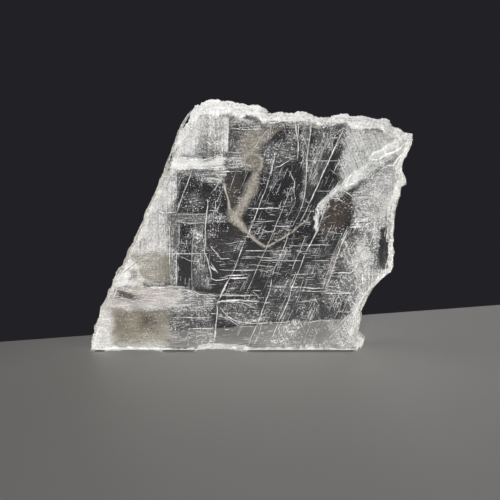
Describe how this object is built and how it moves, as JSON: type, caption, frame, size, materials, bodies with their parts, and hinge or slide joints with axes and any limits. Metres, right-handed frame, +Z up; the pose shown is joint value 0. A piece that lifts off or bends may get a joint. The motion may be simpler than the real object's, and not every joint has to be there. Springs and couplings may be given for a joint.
{
  "type": "selenite plate",
  "caption": "Clear cleavage plate of gypsum crystal with a slanting edge, stepped broken rims and a lumpy crusted top, standing upright on its long edge.",
  "frame": {"origin": "on the surface it stands on, under the middle of its box", "axes": "+X along the long base edge, +Y from the front cleavage face to the back one, +Z up"},
  "size_m": [0.161, 0.0192, 0.125],
  "materials": {
    "selenite_plate": "clear cleaved crystal with frosted, broken rims"
  },
  "bodies": {
    "root": {"selenite_plate": "selenite_plate"}
  },
  "joints": []
}
